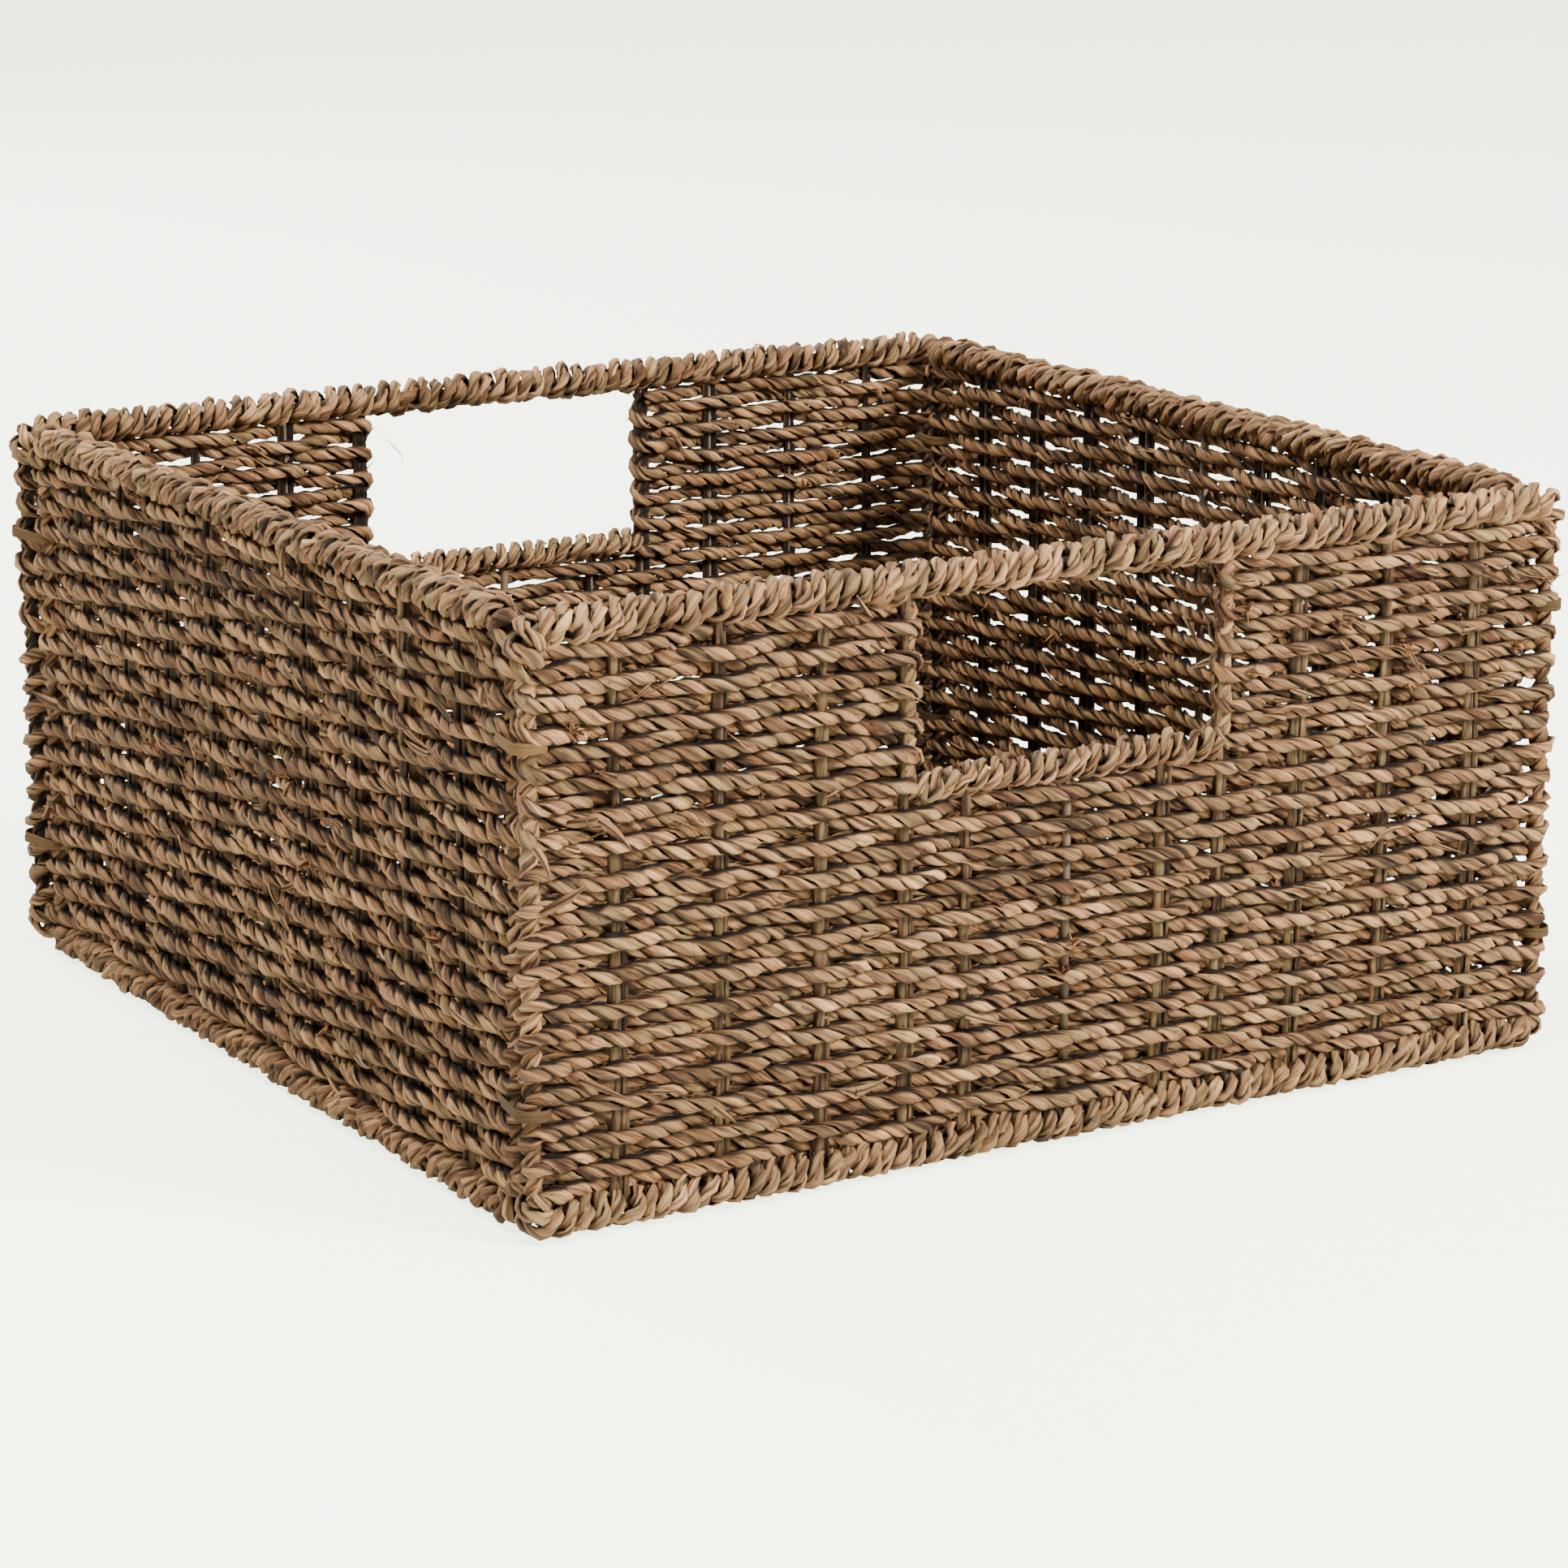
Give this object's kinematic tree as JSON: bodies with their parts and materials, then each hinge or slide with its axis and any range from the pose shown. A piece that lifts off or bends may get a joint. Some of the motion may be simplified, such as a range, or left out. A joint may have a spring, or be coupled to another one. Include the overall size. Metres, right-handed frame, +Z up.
{
  "type": "seagrass storage basket",
  "caption": "Low square storage basket: woven seagrass walls on wire frames, laced at the corners, with hand openings under the front and back rims and a base that folds up.",
  "frame": {"origin": "centre of the basket's footprint, on the floor", "axes": "+Z up, the front wall with its hand opening faces -Y, +X along the front wall"},
  "size_m": [0.385, 0.38, 0.19],
  "materials": {
    "seagrass_weave": "natural dried twisted seagrass rope, matt with a faint waxy sheen",
    "seagrass_base": "natural dried twisted seagrass rope, matt",
    "seagrass_wrap": "natural dried seagrass leaves wound flat, faint waxy sheen",
    "leaf_tie": "olive flat leaf strip, satin",
    "frame_wire": "dark coated steel wire, satin"
  },
  "bodies": {
    "walls": {"front_wire_frame": "frame_wire", "front_top_wrap": "seagrass_wrap", "front_bottom_wrap": "seagrass_wrap", "front_weave": "seagrass_weave", "front_handle_sill_wrap": "seagrass_wrap", "back_wire_frame": "frame_wire", "back_top_wrap": "seagrass_wrap", "back_bottom_wrap": "seagrass_wrap", "back_weave": "seagrass_weave", "back_handle_sill_wrap": "seagrass_wrap", "left_wire_frame": "frame_wire", "left_top_wrap": "seagrass_wrap", "left_bottom_wrap": "seagrass_wrap", "left_weave": "seagrass_weave", "right_wire_frame": "frame_wire", "right_top_wrap": "seagrass_wrap", "right_bottom_wrap": "seagrass_wrap", "right_weave": "seagrass_weave", "corner_tie_front_left_lower": "leaf_tie", "corner_tie_front_left_upper": "leaf_tie", "corner_tie_front_right_lower": "leaf_tie", "corner_tie_front_right_upper": "leaf_tie", "corner_tie_back_left_lower": "leaf_tie", "corner_tie_back_left_upper": "leaf_tie", "corner_tie_back_right_lower": "leaf_tie", "corner_tie_back_right_upper": "leaf_tie", "base_tie_1": "leaf_tie", "base_tie_2": "leaf_tie", "base_tie_3": "leaf_tie", "base_tie_4": "leaf_tie"},
    "base_panel": {"base_wire_frame": "frame_wire", "base_weave": "seagrass_base", "base_hinge_edge_wrap": "seagrass_wrap", "base_front_edge_wrap": "seagrass_wrap", "base_left_edge_wrap": "seagrass_wrap", "base_right_edge_wrap": "seagrass_wrap"}
  },
  "joints": [
    {"name": "base_fold", "type": "hinge", "parent": "walls", "child": "base_panel", "pos_m": [0, 0.1722, 0.006], "axis": [-1, 0, 0], "range_deg": [0, 88]}
  ]
}
